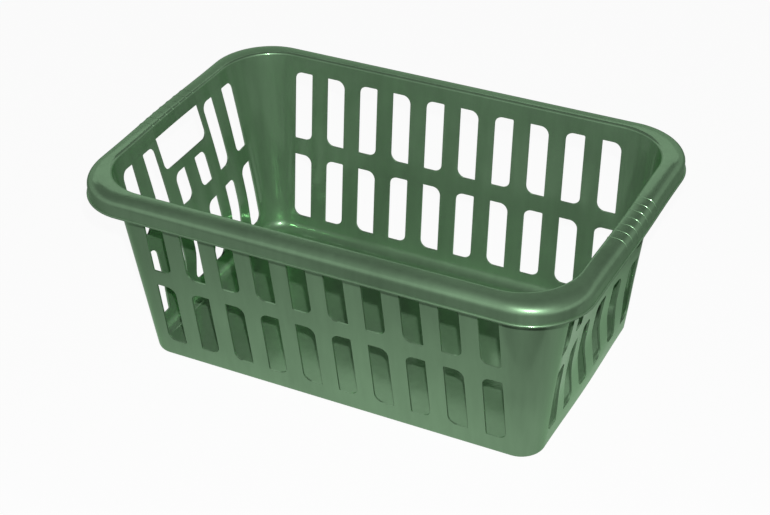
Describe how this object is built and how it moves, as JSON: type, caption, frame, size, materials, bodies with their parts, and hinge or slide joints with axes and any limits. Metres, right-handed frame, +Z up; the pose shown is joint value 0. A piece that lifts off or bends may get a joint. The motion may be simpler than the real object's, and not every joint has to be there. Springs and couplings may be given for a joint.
{
  "type": "laundry basket",
  "caption": "Rectangular plastic laundry basket with slotted sloping walls, a rolled rim and a hand-hold in each end wall.",
  "frame": {"origin": "centre of the base, on the plane that the basket stands on", "axes": "+X along the length towards the right end, +Y towards the back wall, +Z up"},
  "size_m": [0.595, 0.3898, 0.2365],
  "materials": {
    "green_plastic": "satin"
  },
  "bodies": {
    "root": {"floor_pan": "green_plastic", "front_wall": "green_plastic", "back_wall": "green_plastic", "left_end_wall": "green_plastic", "right_end_wall": "green_plastic", "front_left_post": "green_plastic", "front_right_post": "green_plastic", "back_left_post": "green_plastic", "back_right_post": "green_plastic", "front_rim": "green_plastic", "back_rim": "green_plastic", "left_hand_grip": "green_plastic", "right_hand_grip": "green_plastic", "front_left_rim_corner": "green_plastic", "front_right_rim_corner": "green_plastic", "back_left_rim_corner": "green_plastic", "back_right_rim_corner": "green_plastic"}
  },
  "joints": []
}
